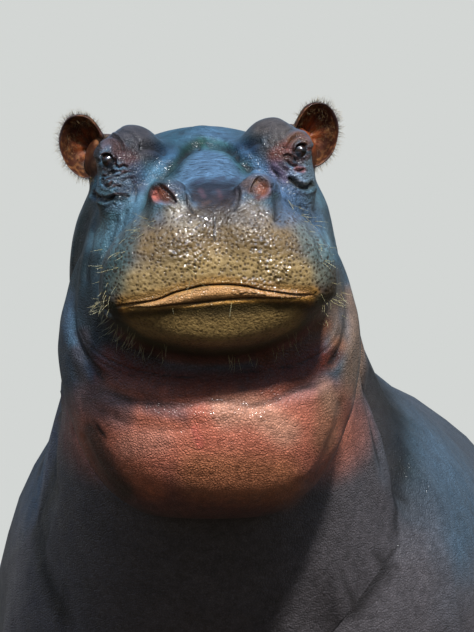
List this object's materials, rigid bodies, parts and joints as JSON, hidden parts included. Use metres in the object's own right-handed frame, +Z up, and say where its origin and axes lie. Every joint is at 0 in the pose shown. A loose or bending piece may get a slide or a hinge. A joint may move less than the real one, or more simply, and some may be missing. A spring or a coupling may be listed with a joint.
{
  "type": "hippopotamus figure",
  "caption": "Life-size standing hippopotamus with raised head, broad whiskered muzzle, upright cupped ears, barrel body and short stout legs.",
  "frame": {"origin": "on the floor under the middle of the animal's box", "axes": "+Z up, the animal faces -Y, its left side is +X"},
  "size_m": [1.1816, 3.119, 1.8463],
  "materials": {
    "face_hide": "wet bare hide: pored tan muzzle, slate-blue bridge, brown brows and jowls",
    "ear_hide": "thin brown ear hide, orange inside, short fringe of hairs",
    "throat_hide": "wet pink-brown hide with fine pebbling and folds",
    "body_hide": "wet slate-grey hide with fine pebbling, pinkish in the folds",
    "eye": "dark brown eye with a clear wet gloss",
    "toenail": "dull dark horn"
  },
  "bodies": {
    "root": {"head": "face_hide", "lower_jaw": "face_hide", "ear_left": "ear_hide", "eye_left": "eye", "ear_right": "ear_hide", "eye_right": "eye", "neck": "throat_hide", "trunk": "body_hide", "tail": "body_hide", "front_left_leg": "body_hide", "front_left_nail_1": "toenail", "front_left_nail_2": "toenail", "front_left_nail_3": "toenail", "front_left_nail_4": "toenail", "front_right_leg": "body_hide", "front_right_nail_1": "toenail", "front_right_nail_2": "toenail", "front_right_nail_3": "toenail", "front_right_nail_4": "toenail", "hind_left_leg": "body_hide", "hind_left_nail_1": "toenail", "hind_left_nail_2": "toenail", "hind_left_nail_3": "toenail", "hind_left_nail_4": "toenail", "hind_right_leg": "body_hide", "hind_right_nail_1": "toenail", "hind_right_nail_2": "toenail", "hind_right_nail_3": "toenail", "hind_right_nail_4": "toenail"}
  },
  "joints": []
}
